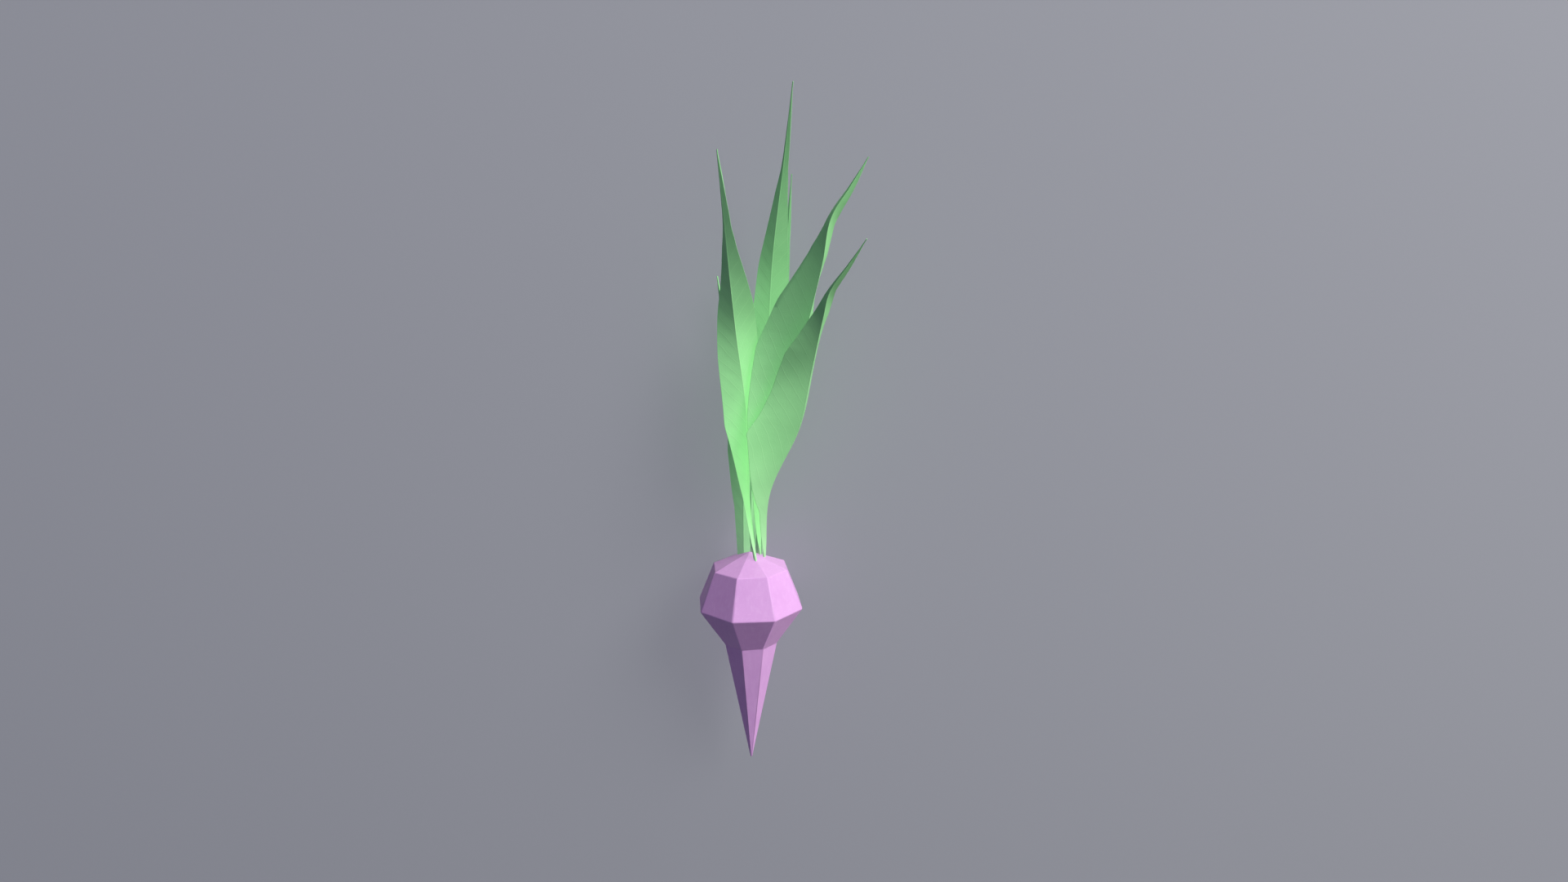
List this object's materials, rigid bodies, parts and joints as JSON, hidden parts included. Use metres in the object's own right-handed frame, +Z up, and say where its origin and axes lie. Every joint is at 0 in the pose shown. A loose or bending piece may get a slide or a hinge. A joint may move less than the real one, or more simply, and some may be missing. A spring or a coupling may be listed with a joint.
{
  "type": "radish",
  "caption": "Radish as pulled, lying on its side: a rounded faceted bulb that narrows into a long pointed taproot, with long folded leaves growing from its crown.",
  "frame": {"origin": "on the small flat spot under the bulb's widest ring, on the surface that the radish lies on", "axes": "+Y along the root's axis from the taproot towards the leaves, +Z up, +X to the right seen from above with the leaves at the top"},
  "size_m": [0.053, 0.2316, 0.0547],
  "materials": {
    "radish_skin": "satin",
    "leaf_green": "satin"
  },
  "bodies": {
    "root": {"root": "radish_skin", "leaf_front_left": "leaf_green", "leaf_middle": "leaf_green", "leaf_right": "leaf_green", "leaf_front_right": "leaf_green", "leaf_back_left": "leaf_green", "leaf_back_middle": "leaf_green"}
  },
  "joints": []
}
